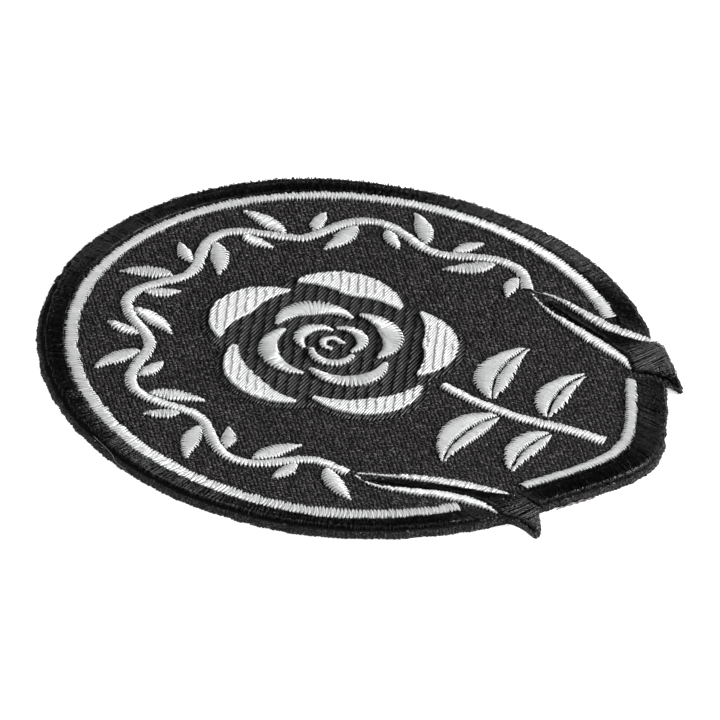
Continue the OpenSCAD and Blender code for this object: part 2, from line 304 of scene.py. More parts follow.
# a stem leaf: where it starts, its direction, length and half width, and how far it bends in degrees
STEM_LEAVES = [
    [-1.6, -21.6, 152, 12.0, 2.7, 46], [1.4, -19.2, 30, 12.0, 2.7, -46],
    [-1.2, -28.6, 158, 9.5, 2.2, 40], [1.9, -26.6, 24, 10.5, 2.3, -44]]
STEM = np.array([[0.4, -13.0], [-0.4, -18.0], [-0.2, -24.5], [0.9, -30.0], [1.3, -34.8]])
WAVES = 6
print("tables:", len(LEFT_LEAF) + len(RIGHT_LEAF), "leaf rows,", len(PETALS), "petals,", len(STEM_LEAVES),
      "stem leaves")


# %% Curves
def polar(r, degrees):
    """Points at a distance from the middle, in directions counted from +X in degrees."""
    a = np.radians(degrees)
    return np.stack([r * np.cos(a), r * np.sin(a)], -1)


def mix(a, b, t):
    """From a to b while t goes from 0 to 1."""
    return a + (b - a) * t


def row_at(table, t):
    """Points of a smooth curve through the rows of a table, at row numbers t."""
    last = len(table) - 1
    i = np.minimum(np.floor(t).astype(int), last - 1)
    f = (t - i)[:, None]
    a, b, c, d = (table[np.clip(i + k, 0, last)] for k in (-1, 0, 1, 2))
    return (2 * b + (c - a) * f + (2 * a - 5 * b + 4 * c - d) * f**2 + (3 * b - a - 3 * c + d) * f**3) / 2


def offset(line, distance):
    """The line moved to its left by a distance, which may change along it."""
    along = np.gradient(line, axis=0)
    along /= np.linalg.norm(along, axis=1)[:, None]
    return line + np.stack([-along[:, 1], along[:, 0]], -1) * np.reshape(distance, (-1, 1))


print("the left leaf's tip is at", row_at(LEFT_LEAF, np.array([9.0]))[0])

# %% [markdown]
# ## The two edges of each band
# Satin stitch fills a band from one edge to the other, so a band is simply two lines with the same number
# of points. Here are the bands that run with the outline: the black border of the round part, the border
# of the lobe, the white ring and the white line beside the lobe. Equal places in the two lines are joined
# by a stitch, so a shift between them slants it: the border's threads splay only at its ends, and those of
# the lobe all lean. Two short tables say where the real edges stray from a circle.

# %% Bands along the outline
FINE = np.linspace(0, 1, 241)
LOBE_FOOT, LOBE_SLOPE, LOBE_X, LOBE_BLUNT = -41.8, 0.6, 1.2, 5
RING_START, RING_END = -45.6, 234.4


def lobe_y(x, lift):
    """The lobe's edge, a blunt V, or a line that runs higher by lift."""
    return LOBE_FOOT + lift + LOBE_SLOPE * (np.sqrt((x - LOBE_X) ** 2 + LOBE_BLUNT**2) - LOBE_BLUNT)


def lobe_edge(x_from, x_to, lift):
    x = mix(x_from, x_to, FINE)
    return np.stack([x, lobe_y(x, lift)], -1)


# where the blade strayed from the plan: bearing in degrees, mm further out
CUT = np.array([
    [0, -0.05], [22, 0.05], [38, 0.45], [80, 0.35], [108, 0.1], [150, 0.0], [198, 0.15], [222, -0.25],
    [234, 0.0], [266, 0.15], [280, -0.3], [296, 0.1], [304, -0.2], [312, 0.25], [343, 0.4], [360, -0.05]])

# where the white ring's stitches end beside the border: bearing, mm from the middle
RING_EDGE = np.array([
    [-43, 34.78], [-5, 34.8], [12, 34.62], [50, 34.5], [86, 34.42], [100, 34.58], [135, 34.74],
    [150, 34.86], [186, 35.0], [196, 35.12], [204, 35.3], [213, 35.02], [222, 34.8], [232, 34.75]])


def strayed(bearings):
    """How far the cut strays from the plan, in mm."""
    return np.interp(np.asarray(bearings) % 360, *CUT.T)


ring_turn = mix(RING_START, RING_END, FINE)
splayed = 3 * np.exp((ring_turn - RING_END) / 5) - 4 * np.exp((RING_START - ring_turn) / 5)
lobe_x = mix(-15.0, 15.9, FINE) - 1.9 * np.clip(FINE / 0.12, 0, 1) * np.clip((0.85 - FINE) / 0.4, 0, 1)
white_turn = mix(-42.7, 231.9, FINE)
white_inner = 33.12 + 0.28 * np.exp(-(((white_turn - 194) / 15) ** 2))
white_outer = np.interp(white_turn, *RING_EDGE.T)
black_inner = np.interp(ring_turn, *RING_EDGE.T) + 0.12
black_outer = 37.15 + np.maximum(0, strayed(ring_turn)) - 0.2 * np.clip((ring_turn - 95) / 15, 0, 1)
bands = {
    "ring_border": (polar(black_inner, ring_turn), polar(black_outer, ring_turn + splayed)),
    "lobe_border": (lobe_edge(-14.4, 15.6, 4), np.stack([lobe_x, lobe_y(lobe_x, 0.2)], -1)),
    "white_ring": (polar(white_inner, white_turn), polar(white_outer, white_turn)),
    "lobe_line": (lobe_edge(-12.6, 14.4, 5.615), lobe_edge(-12.9, 14.7, 4.04)),
}

# %% [markdown]
# ## Bands of the long leaves
# The two long leaves have a white line along each edge and a black rib that widens into the tip. The lines
# swell in the middle and end in points, and the rib keeps a small gap to them.

# %% Bands of the long leaves
RIB_START, RIB_ROW, LINE_ROW, LAST_ROW = 0.8, 3.0, 4.9, 9
BLUNT, LINE_GAP = 0.12, 0.15
LINE_WIDEST, LINE_SHARE = 1.7, 0.36
RIB_HALF, TIP_HALF = 0.42, 4


def line_thick(rows, t):
    """How wide a long leaf's white line is at each row."""
    swell = np.sin(np.pi * np.clip(t / LINE_ROW, 0, 1) ** 1.6) ** 0.7
    return np.minimum(LINE_WIDEST, LINE_SHARE * (rows[:, 2] - rows[:, 1])) * np.nan_to_num(swell)


def long_leaf_line(table, column, inward):
    """The white line along one edge of a long leaf."""
    t = mix(0.15, LINE_ROW - 0.05, FINE)
    rows = row_at(table, t)
    rim = rows[:, [column, 0]]
    thick = np.maximum(BLUNT, line_thick(rows, t))
    return rim, rim + np.stack([inward * thick, 0 * thick], -1)


def leaf_tip(table):
    """The black rib between the white lines and the tip that it widens into. Its stitches slant a little,
    because its right edge is taken further ahead than its left."""
    t = mix(RIB_START, LAST_ROW, FINE)
    rows = row_at(table, t)
    line = np.where(t < LINE_ROW, np.maximum(BLUNT, line_thick(rows, t)) + LINE_GAP, 0)
    free = (rows[:, 2] - rows[:, 1]) / 2 - line
    half = np.maximum(BLUNT, np.minimum(free, mix(RIB_HALF, TIP_HALF, np.maximum(0, t - RIB_ROW) / 2)))
    middle = (rows[:, 1] + rows[:, 2]) / 2
    left, right = np.stack([middle - half, rows[:, 0]], -1), np.stack([middle + half, rows[:, 0]], -1)
    ahead = FINE + 0.11 * np.sin(np.pi * FINE) ** 0.7
    return left, np.stack([np.interp(ahead, FINE, right[:, k]) for k in (0, 1)], -1)


for side, table in (("left", LEFT_LEAF), ("right", RIGHT_LEAF)):
    mirrored = side == "right"
    bands["leaf_tip_" + side] = leaf_tip(table)
    bands[f"long_leaf_{side}_outer"] = long_leaf_line(table, 1 + mirrored, -1 if mirrored else 1)
    bands[f"long_leaf_{side}_inner"] = long_leaf_line(table, 2 - mirrored, 1 if mirrored else -1)
print(len(bands), "bands so far")

# %% [markdown]
# ## Bands of the rose and the vine
# A petal is a crescent between two arcs, a stem leaf is two halves beside a bare vein, and the vine is a
# wave along a circle with a leaf and a bud at each of its bends.

# %% Bands of the rose and the vine
PETAL_END = 0.5
HEART_TURN, HEART_INNER, HEART_OUTER = (-60, 215), (1.0, 0.6), (1.7, 1.4)
STEM_HALF, VEIN_HALF, LOWER_SHARE = 0.8, 0.16, 0.62
VINE_R, VINE_TURN, WAVE_H = (27.1, 25.7), (-25.5, 208.8), 2
VINE_HALF, VINE_GAP = 0.7, 1.15


def petal(distance, direction, radius, tucked, free, thick):
    """A crescent, blunt at both ends: tucked and free say how far it goes to either side, in degrees."""
    centre = ROSE_AT + polar(distance, direction)
    a = direction + mix(-tucked, free, FINE)
    depth = PETAL_END + (thick - PETAL_END) * np.sin(np.pi * FINE) ** 0.8
    return centre + polar(radius - depth, a), centre + polar(radius, a)


def bent_leaf(base, a, length, bend):
    """The middle line of a leaf that starts in direction a and bends."""
    turned = np.radians(a + bend * FINE / 2)
    return np.asarray(base) + length * FINE[:, None] * np.stack([np.cos(turned), np.sin(turned)], -1)


def leaf_widths(half):
    """Half widths along a leaf, blunt at both ends."""
    return BLUNT + (half - BLUNT) * np.sin(np.pi * FINE**0.8)


def vine_point(u):
    """A point of the vine, at a share u of its way."""
    return polar(mix(*VINE_R, u) + WAVE_H * np.sin(2 * np.pi * WAVES * u), mix(*VINE_TURN, u))


def vine_leaf(i, shift, length, width, lean, bend):
    """A leaf beside the vine's bend i, moved along the vine by shift."""
    out = -1 if i % 2 else 1
    at = vine_point((i - 0.5 + shift) / (2 * WAVES))
    a = math.degrees(math.atan2(at[1] * out, at[0] * out)) + lean * out
    line = bent_leaf(at + VINE_GAP / math.cos(math.radians(lean)) * polar(1, a), a, length, bend * out)
    return offset(line, -leaf_widths(width / 2)), offset(line, leaf_widths(width / 2))


for i, row in enumerate(PETALS, 1):
    bands[f"petal_{i}"] = petal(*row)
turn = mix(*HEART_TURN, FINE)
bands["rose_heart"] = (ROSE_AT + polar(mix(*HEART_INNER, FINE), turn),
                       ROSE_AT + polar(mix(*HEART_OUTER, FINE), turn))
stem_line = row_at(STEM, FINE * (len(STEM) - 1))
bands["stem"] = tuple(offset(stem_line, side * STEM_HALF * mix(0.8, 1.1, FINE)) for side in (-1, 1))
for i, (x, y, a, length, half, bend) in enumerate(STEM_LEAVES, 1):
    line = bent_leaf((x, y), a, length, bend)
    for name, side, full in (("upper", -1, 1), ("lower", 1, LOWER_SHARE)):
        side *= 1 if bend > 0 else -1
        rim = VEIN_HALF + np.maximum(2 * BLUNT, leaf_widths(half) * full)
        bands[f"stem_leaf_{i}_{name}"] = (offset(line, side * VEIN_HALF), offset(line, side * rim))
vine_line = vine_point(np.linspace(0, 1, 1201))
bands["vine"] = (offset(vine_line, -VINE_HALF), offset(vine_line, VINE_HALF))
for i in range(1, 2 * WAVES + 1):
    bands[f"vine_leaf_{i}"] = vine_leaf(i, shift=0.15, length=6.8, width=2.3, lean=20, bend=26)
    bands[f"vine_bud_{i}"] = vine_leaf(i, shift=-0.18, length=4.4, width=1.8, lean=-20, bend=-20)
print(len(bands), "bands to sew")

# %% [markdown]
# ## One thread, modelled once
# A stitch is a short, straight thread that is pushed up by the padding under it and pulled down into the
# cloth at both ends. The thread itself is modelled once, as by hand: a thin cylinder is laid along X and
# cut across at the places where it will bend. All the copies are bent from this one, so it has few faces.

# %% The model thread
def straight_thread(sides, cuts):
    """A thread of length 1 and radius 1 along X, as points, faces and a UV map."""
    bpy.ops.mesh.primitive_cylinder_add(vertices=sides, radius=1, depth=1, end_fill_type="NGON")
    thread = bpy.context.object
    bpy.ops.object.mode_set(mode="EDIT")
    bpy.ops.mesh.select_all(action="SELECT")
    bpy.ops.transform.rotate(value=math.pi / 2, orient_axis="Y", center_override=(0, 0, 0))
    bpy.ops.transform.translate(value=(0.5, 0, 0))
    for cut in cuts:
        bpy.ops.mesh.select_all(action="SELECT")
        bpy.ops.mesh.bisect(plane_co=(cut, 0, 0), plane_no=(1, 0, 0))
    bpy.ops.object.mode_set(mode="OBJECT")
    return taken_apart(thread)


def taken_apart(model):
    """The points, faces and corner UVs of a modelled shape, which is then removed."""
    mesh = model.data
    points = np.empty(len(mesh.vertices) * 3)
    mesh.vertices.foreach_get("co", points)
    corners = np.empty(len(mesh.loops), int)
    mesh.loops.foreach_get("vertex_index", corners)
    uv = np.zeros(len(mesh.loops) * 2)
    if mesh.uv_layers:
        mesh.uv_layers.active.data.foreach_get("uv", uv)
    faces = [list(p.vertices) for p in mesh.polygons]
    bpy.data.objects.remove(model)
    return {"points": points.reshape(-1, 3), "faces": faces, "corners": corners,
            "round": uv.reshape(-1, 2)[:, 0]}


SATIN = straight_thread(5, (0.02, 0.06, 0.2, 0.5, 0.8, 0.94, 0.98))
SHORT = straight_thread(5, (0.1, 0.3, 0.7, 0.9))
FILL = straight_thread(5, (0.07, 0.22, 0.78, 0.93))
FIBRE = straight_thread(3, (0.4, 0.75))
print("a satin stitch has", sum(len(f) - 2 for f in SATIN["faces"]), "triangles, a short one",
      sum(len(f) - 2 for f in SHORT["faces"]))

# %% [markdown]
# ## Bending the copies
# Every copy goes from one needle hole to the next. Along its way the thread follows an arch, steep at both
# holes and nearly flat on top, and its cross-section turns with the slope so that it stays as thick. The
# needle hole draws its filaments together, so it is narrower at both ends.
# The arithmetic is done for all stitches of a band at once, because numpy is far quicker than a loop.

# %% Threads between holes
HOLE_SHARE, HOLE_RUN = 0.22, 0.34
LAST_BIT = 150


def arch(t):
    """Height of a satin stitch along its way, 0 at both holes and 1 on its crown."""
    return np.maximum(0, 1 - np.abs(2 * t - 1) ** 4.5) ** 0.6


def broad_arch(t):
    """The same over a wide cushion: almost flat on top, and steep only beside the holes."""
    return np.maximum(0, 1 - np.abs(2 * t - 1) ** 60) ** 0.5


def lay(template, starts, ends, z, rise, wide, thick, shape=arch, fall=0.0):
    """Copies of a thread from hole to hole, in mm, of half width wide and half thickness thick. Fall is how
    much lower a thread ends than it starts, and it drops by that in its last bit, over the band's edge."""
    t, c, s = template["points"].T
    run = ends - starts
    length = np.linalg.norm(run, axis=1)
    ahead = run / length[:, None]
    aside = np.stack([-ahead[:, 1], ahead[:, 0]], -1)
    rise = np.broadcast_to(np.asarray(rise, float), length.shape)
    z = np.broadcast_to(np.asarray(z, float), length.shape)
    wide = np.broadcast_to(np.asarray(wide, float), length.shape)
    before, after = np.maximum(t - 0.01, 0), np.minimum(t + 0.01, 1)
    climb = rise[:, None] * (shape(after) - shape(before)) - fall * (after**LAST_BIT - before**LAST_BIT)
    angle = np.arctan(climb / (after - before) / length[:, None])
    forward = t * length[:, None] - np.sin(angle) * s * thick
    drawn_in = HOLE_SHARE + (1 - HOLE_SHARE) * np.clip(np.minimum(t, 1 - t) / HOLE_RUN, 0, 1)
    sideways = c * drawn_in * wide[:, None]
    flat = starts[:, None] + ahead[:, None] * forward[..., None] + aside[:, None] * sideways[..., None]
    height = z[:, None] + rise[:, None] * shape(t) - fall * t**LAST_BIT + np.cos(angle) * s * thick
    return np.concatenate([flat, height[..., None]], -1), length


print("at a tenth of its way a stitch has", arch(0.1).round(2), "of its height, a broad one",
      broad_arch(0.1).round(2))

# %% [markdown]
# ## From copies to one mesh
# All stitches of a band become one piece. Each copy keeps its own points, a UV map in millimetres along
# the thread, and its strand number. The piece stands at the origin, with its place in its mesh, as the
# CAD node that it replaces does.

# %% Joining the copies
THREAD_ROUND = 0.75


def joined(name, sets, material):
    """One mesh piece from sets of (template, points of the copies in mm, their lengths, their strands)."""
    points, faces, uvs, strands, first = [], [], [], [], 0
    for template, copies, length, strand in sets:
        count, each = copies.shape[:2]
        points.append(copies.reshape(-1, 3) * MM)
        for k in range(count):
            base = first + k * each
            faces += [[base + v for v in face] for face in template["faces"]]
        along = template["points"][template["corners"], 0]
        uv = np.empty((count, len(along), 2))
        uv[..., 0] = along * length[:, None]
        uv[..., 1] = template["round"] * THREAD_ROUND
        uvs.append(uv.reshape(-1, 2))
        strands.append(np.repeat(strand, each))
        first += count * each
    mesh = bpy.data.meshes.new(name)
    mesh.from_pydata(np.concatenate(points).tolist(), [], faces)
    uv_map = mesh.uv_layers.new(name="thread")
    uv_map.data.foreach_set("uv", np.concatenate(uvs).astype(np.float32).ravel())
    strand_of = mesh.attributes.new("strand", "FLOAT", "POINT")
    strand_of.data.foreach_set("value", np.concatenate(strands).astype(np.float32))
    mesh.polygons.foreach_set("use_smooth", np.ones(len(mesh.polygons), bool))
    mesh.materials.append(material)
    piece = bpy.data.objects.new(name, mesh)
    bpy.context.collection.objects.link(piece)
    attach(piece, "root")
    return piece


def triangles(piece):
    return sum(len(p.vertices) - 2 for p in piece.data.polygons)


print("the UV map is", THREAD_ROUND, "mm wide round a thread")

# %% [markdown]
# ## Needle holes of a zigzag
# The machine goes to and fro, so on each edge two stitches share a hole and lean together. That makes the
# row of small teeth at the edge of every satin band. The two stitches press each other aside a little, and
# no hole lies exactly in line.

# %% Zigzag between two edges
chance = np.random.default_rng(7)
PRESS, SHORTEST = 0.09, 0.2


def strands(count):
    """A strand number for each stitch, most of them near the middle."""
    return np.clip(chance.normal(0.5, 0.25, count), 0, 1)


def zigzag(edge_a, edge_b, pitch, ragged=0.05, drift=0.03):
    """Starts and ends of the stitches that fill a band, two for each pitch."""
    middle = (edge_a + edge_b) / 2
    run = np.concatenate([[0], np.cumsum(np.linalg.norm(np.diff(middle, axis=0), axis=1))])
    count = max(3, round(run[-1] / pitch))

    def at(edge, s):
        return np.stack([np.interp(s, run / run[-1], edge[:, k]) for k in (0, 1)], -1)

    a = np.arange(count + 1) / count
    b = (np.arange(count) + 0.5) / count
    press = PRESS / count
    s_a = np.stack([a[:-1] + press, a[1:] - press], -1).ravel() + chance.normal(0, drift / count, 2 * count)
    s_b = np.stack([b - press, b + press], -1).ravel() + chance.normal(0, drift / count, 2 * count)
    starts, ends = at(edge_a, s_a), at(edge_b, s_b)
    ahead = (ends - starts) / np.linalg.norm(ends - starts, axis=1)[:, None]
    pulls = chance.normal(0, ragged, (2, count)).repeat(2, axis=1)
    starts, ends = starts - ahead * pulls[0][:, None], ends + ahead * pulls[1][:, None]
    keep = np.linalg.norm(ends - starts, axis=1) > SHORTEST
    return starts[keep], ends[keep]


print("the stem's edges have", len(bands["stem"][0]), "points each, and a hole lies anywhere between them")

# %% [markdown]
# ## Padding under the satin
# Before the satin the machine sews an underlay, which holds the stitches up and hides the cloth between
# them. Nobody sees its single threads, so it is one low cushion: a tube with eight sides, squeezed
# between the band's edges.

# %% The underlay
CUSHION_CUTS = 64


def underlay(edge_a, edge_b, z, rise, margin=0.34):
    """A cushion along a band, in the form that joined() takes."""
    template = straight_thread(8, tuple(np.arange(1, CUSHION_CUTS) / CUSHION_CUTS))
    t, c, s = template["points"].T
    at = np.clip(t * 0.98 + 0.01, 0, 1) * (len(edge_a) - 1)
    a, b = (np.stack([np.interp(at, np.arange(len(edge)), edge[:, k]) for k in (0, 1)], -1)
            for edge in (edge_a, edge_b))
    half = np.linalg.norm(b - a, axis=1) / 2
    share = np.clip((half - margin) / half, 0.05, 1)
    flat = (a + b) / 2 + (b - a) / 2 * (c * share)[:, None]
    height = z + np.where(s > 0, s, 0) * rise * np.clip(half / 0.5, 0.3, 1)
    points = np.concatenate([flat, height[:, None]], -1)[None]
    return template, points, np.array([10.0]), np.array([0.2])


print("a cushion is cut in", CUSHION_CUTS, "places")

# %% [markdown]
# ## A loose thread
# Some threads follow no band, such as a fibre that came loose. For them the straight thread is laid along a
# curve through a few points in space, with its cross-section kept upright.

# %% Thread along a path
def along_path(path, radius, cuts):
    """A thread along a curve through points in mm, in the form that joined() takes."""
    template = straight_thread(6, tuple(np.arange(1, cuts) / cuts))
    t, c, s = template["points"].T
    path = np.asarray(path, float)
    last = len(path) - 1
    centre = row_at(path, t * last)
    ahead = row_at(path, np.minimum(t * last + 0.02, last)) - row_at(path, np.maximum(t * last - 0.02, 0))
    ahead /= np.linalg.norm(ahead, axis=1)[:, None]
    aside = np.cross((0, 0, 1), ahead)
    aside /= np.linalg.norm(aside, axis=1)[:, None]
    points = centre + radius * (aside * c[:, None] + np.cross(ahead, aside) * s[:, None])
    length = np.linalg.norm(np.diff(path, axis=0), axis=1).sum()
    return template, points[None], np.array([length]), np.array([0.5])


print("a thread can now follow a curve in space")

# %% [markdown]
# ## Sewing a satin band
# Now a band is three things: its zigzag of holes, the threads between them and the cushion below. Threads
# on a wide band get the long model thread, those on a narrow one the short.

# %% Satin bands
THREAD_THICK = 0.045
WIDE_BAND, FULL_RISE = 1.2, 1.0


def sew_satin(node, material, z, height, pitch=0.45, ragged=0.05, drift=0.03, fall=0.0, shape=arch,
              spread=0.36, uneven=0.04):
    """Satin stitches and their cushion for one band, in the place of the CAD node of that name. Ragged and
    drift say how far the holes stray across and along the band, spread how wide a thread is in pitches, and
    uneven how much the stitches differ in height."""
    edge_a, edge_b = bands[node]
    starts, ends = zigzag(edge_a, edge_b, pitch, ragged, drift)
    width = np.linalg.norm(ends - starts, axis=1)
    template = SATIN if np.median(width) > WIDE_BAND else SHORT
    rise = (height - THREAD_THICK) * np.clip(width / FULL_RISE, 0.45, 1)
    rise = rise * chance.normal(1, uneven, len(width))
    copies, length = lay(template, starts, ends, z, rise, pitch * spread, THREAD_THICK, shape, fall)
    stitches = (template, copies, length, strands(len(length)))
    cushion = underlay(edge_a, edge_b, z - 0.01, height - 2.2 * THREAD_THICK)
    piece = joined(node + "_stitches", [stitches, cushion], material)
    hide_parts(node)
    return piece


sewn = []
black_bands = ("ring_border", "lobe_border", "leaf_tip_left", "leaf_tip_right")
for node in black_bands:
    sewn.append(sew_satin(node, black_satin, THREAD_Z, BORDER_H, pitch=0.36, ragged=0.1,
                          drift=0.35, fall=0.3 if "border" in node else 0, shape=broad_arch, spread=0.29,
                          uneven=0.1))
    print(node, triangles(sewn[-1]), "triangles")

# %% [markdown]
# ## The white lines
# The white ring, the line along the lobe, the vine with its leaves and buds, the stem with its leaves and
# the edges of the two long leaves are all the same satin in white. They lie directly on the twill. The
# ring is a little lower and broader, and its threads end higher at the border, which they lean on.

# %% White satin on the twill
on_twill = ["white_ring", "lobe_line", "vine", "stem"]
on_twill += [n for n in bands if n.startswith(("long_leaf", "stem_leaf", "vine_leaf", "vine_bud"))]
for node in on_twill:
    if node == "white_ring":
        sewn.append(sew_satin(node, white_thread, THREAD_Z, RING_H, ragged=0.1, drift=0.05,
                              fall=-0.22, shape=broad_arch, spread=0.4))
    else:
        sewn.append(sew_satin(node, white_thread, THREAD_Z, LINE_H, ragged=0.07))
white_triangles = sum(triangles(piece) for piece in sewn[len(black_bands):])
print(len(on_twill), "white bands,", white_triangles, "triangles")

# %% [markdown]
# ## Fill stitch
# An area too wide for satin is filled with parallel rows of stitches a few millimetres long. Each row is
# shifted against the last like bricks, and where two stitches meet the thread dips into the cloth. Those
# dips are the little dashes that one sees all over a filled area.

# %% Rows of fill stitches
BRICK, END_GAP, MOST_HOLES = 0.28, 0.7, 61


def row_spans(polygons, y):
    """Where a level line crosses a union of polygons, as a list of spans."""
    spans = []
    for polygon in polygons:
        a, b = polygon, np.roll(polygon, -1, axis=0)
        cross = (a[:, 1] > y) != (b[:, 1] > y)
        a, b = a[cross], b[cross]
        x = np.sort(a[:, 0] + (y - a[:, 1]) / (b[:, 1] - a[:, 1]) * (b[:, 0] - a[:, 0]))
        spans += [list(span) for span in zip(x[::2], x[1::2])]
    merged = []
    for span in sorted(spans):
        if merged and span[0] <= merged[-1][1]:
            merged[-1][1] = max(merged[-1][1], span[1])
        else:
            merged.append(span)
    return merged


def fill_rows(polygons, spacing, length):
    """Starts and ends of fill stitches in rows along X."""
    low = min(polygon[:, 1].min() for polygon in polygons)
    high = max(polygon[:, 1].max() for polygon in polygons)
    starts, ends = [], []
    for k, y in enumerate(np.arange(low + spacing / 2, high, spacing)):
        for x0, x1 in row_spans(polygons, y):
            if x1 - x0 < 0.5:
                continue
            first = (k % 4) * length * BRICK + math.floor(x0 / length) * length
            holes = first + length * (np.arange(MOST_HOLES) - 1) + chance.normal(0, 0.12, MOST_HOLES)
            holes = np.sort(holes[(holes > x0 + END_GAP) & (holes < x1 - END_GAP)])
            holes = np.concatenate([[x0 + chance.normal(0, 0.06)], holes, [x1 + chance.normal(0, 0.06)]])
            row = np.stack([holes, y + chance.normal(0, 0.02, len(holes))], -1)
            starts.append(row[:-1])
            ends.append(row[1:])
    return np.concatenate(starts), np.concatenate(ends)


def low_arch(t):
    """A fill stitch lies flat and dips at both holes."""
    return np.clip(np.minimum(t, 1 - t) / 0.2, 0, 1) ** 0.6


def stitch_rows(template, polygons, spacing, length, **threads):
    """Fill stitches over an area, in the form that joined() takes."""
    starts, ends = fill_rows(polygons, spacing, length)
    return template, *lay(template, starts, ends, **threads)


print("a row is shifted by", BRICK, "of a stitch against the last")

# %% [markdown]
# ## The black ground of the rose
# The rose stands on a patch of black fill: five rounds, one behind each outer petal, and one in the
# middle. Its rows run across the patch.

# %% Black fill
def circle(centre, radius):
    return centre + polar(radius, np.arange(0, 360, 3))


FILL_MIDDLE_R, FILL_MARGIN, FILL_STITCH = 9.2, 0.9, 3.6
fill_plan = [circle(ROSE_AT, FILL_MIDDLE_R)]
fill_plan += [circle(ROSE_AT + polar(row[0], row[1]), row[2] + FILL_MARGIN) for row in PETALS[:5]]
stitches = stitch_rows(FILL, fill_plan, 0.38, FILL_STITCH, z=THREAD_Z, rise=0.14, wide=0.2, thick=0.08,
                       shape=low_arch)
length = stitches[2]
rose_fill = joined("rose_fill_stitches", [(*stitches, strands(len(length)))], black_fill)
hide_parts("rose_fill")
sewn.append(rose_fill)
print("rose_fill", len(length), "stitches,", triangles(rose_fill), "triangles")

# %% [markdown]
# ## Petals
# The widest petals are filled in rows too, as a machine would do on more than a few millimetres,
# and the narrower ones are satin from their inner to their outer edge.

# %% Petals
FILLED_FROM = 3


def sew_fill(node):
    """A filled petal: rows of white stitches over a low cushion."""
    edge_a, edge_b = bands[node]
    stitches = stitch_rows(FILL, [np.concatenate([edge_a, edge_b[::-1]])], 0.3, 2.6, z=ROSE_Z, rise=0.26,
                           wide=0.19, thick=0.06, shape=low_arch)
    stitches = (*stitches, strands(len(stitches[2])))
    cushion = underlay(edge_a, edge_b, ROSE_Z, 0.14, 0.3)
    piece = joined(node + "_stitches", [stitches, cushion], white_thread)
    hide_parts(node)
    return piece


for i, row in enumerate(PETALS, 1):
    if row[5] > FILLED_FROM:
        sewn.append(sew_fill(f"petal_{i}"))
    else:
        sewn.append(sew_satin(f"petal_{i}", white_thread, ROSE_Z, PETAL_H))
sewn.append(sew_satin("rose_heart", white_thread, ROSE_Z, HEART_H))
print("rose:", sum(triangles(piece) for piece in sewn[-len(PETALS) - 1:]), "triangles")

# %% [markdown]
# ## The cloth
# All this is sewn on stiffened black twill and then cut out with a hot blade. The plan is a round, a lobe
# and two leaf tips in one. Seen from the middle, the outline can be given as one distance for each
# direction, so a circle primitive is pushed out to it and given its thickness by extruding. To find that
# distance, points are tried along a ray, and the last one that lies inside one of the three forms wins.

# %% Outline of the cloth
def inside(points, polygon):
    """Whether each point lies inside a polygon, by counting crossed edges."""
    x, y = points[:, 0, None], points[:, 1, None]
    (x0, y0), (x1, y1) = polygon.T, np.roll(polygon, -1, axis=0).T
    crossed = (y0 > y) != (y1 > y)
    with np.errstate(divide="ignore", invalid="ignore"):
        at = x0 + (y - y0) / (y1 - y0) * (x1 - x0)
    return (crossed & (x < at)).sum(axis=1) % 2 == 1


def leaf_outline(table, margin):
    """The lower half of a long leaf with a margin of cloth."""
    rows = row_at(table, mix(4.0, LAST_ROW, np.linspace(0, 1, 40)))
    low = [[(table[LAST_ROW][1] + table[LAST_ROW][2]) / 2, table[LAST_ROW][0] - margin]]
    return np.concatenate([rows[:, [1, 0]] - [margin, 0], low, rows[::-1][:, [2, 0]] + [margin, 0]])


def reach(polygons, directions):
    """How far a union of polygons reaches from the middle in each direction, at least the round part."""
    radii = np.arange(34, 44, 0.02)
    best = np.full(len(directions), PATCH_R)
    for polygon in polygons:
        for k, a in enumerate(directions):
            best[k] = max(best[k], radii[inside(polar(radii, a), polygon)].max(initial=0))
    return best


def lobe_plan():
    """The lobe, with two points inside the round part."""
    x = np.linspace(-15.6, 16.6, 80)
    return np.concatenate([[[-10, -20]], np.stack([x, lobe_y(x, 0)], -1), [[12, -20]]])


RIM = 2160
directions = np.arange(RIM) * 360 / RIM
low_side = (directions > 225) & (directions < 315)
cloth_reach = np.full(RIM, PATCH_R)
plans = [lobe_plan(), leaf_outline(LEFT_LEAF, LEDGE), leaf_outline(RIGHT_LEAF, LEDGE)]
cloth_reach[low_side] = reach(plans, directions[low_side])
cloth_reach += strayed(directions)
print("the outline reaches from", cloth_reach.min(), "to", cloth_reach.max().round(2), "mm")

# %% [markdown]
# ## Under the right tip
# There the rule of one distance for each direction fails, because the tip leans over the lobe and the edge
# turns back under it into a sharp corner. So on a few degrees the points are shared out anew along a path:
# out along the lobe to the corner, back along the tip's lower edge, and round the tip.

# %% The corner under the right tip
HOOK_START, HOOK_END, TIP_TURN = 289, 297, 294.6
# the tip's lower edge: bearing, mm from the middle
HOOK = np.array([[295.6, 39.35], [294.9, 40.05], [294.35, 40.5], [294.15, 40.7]])


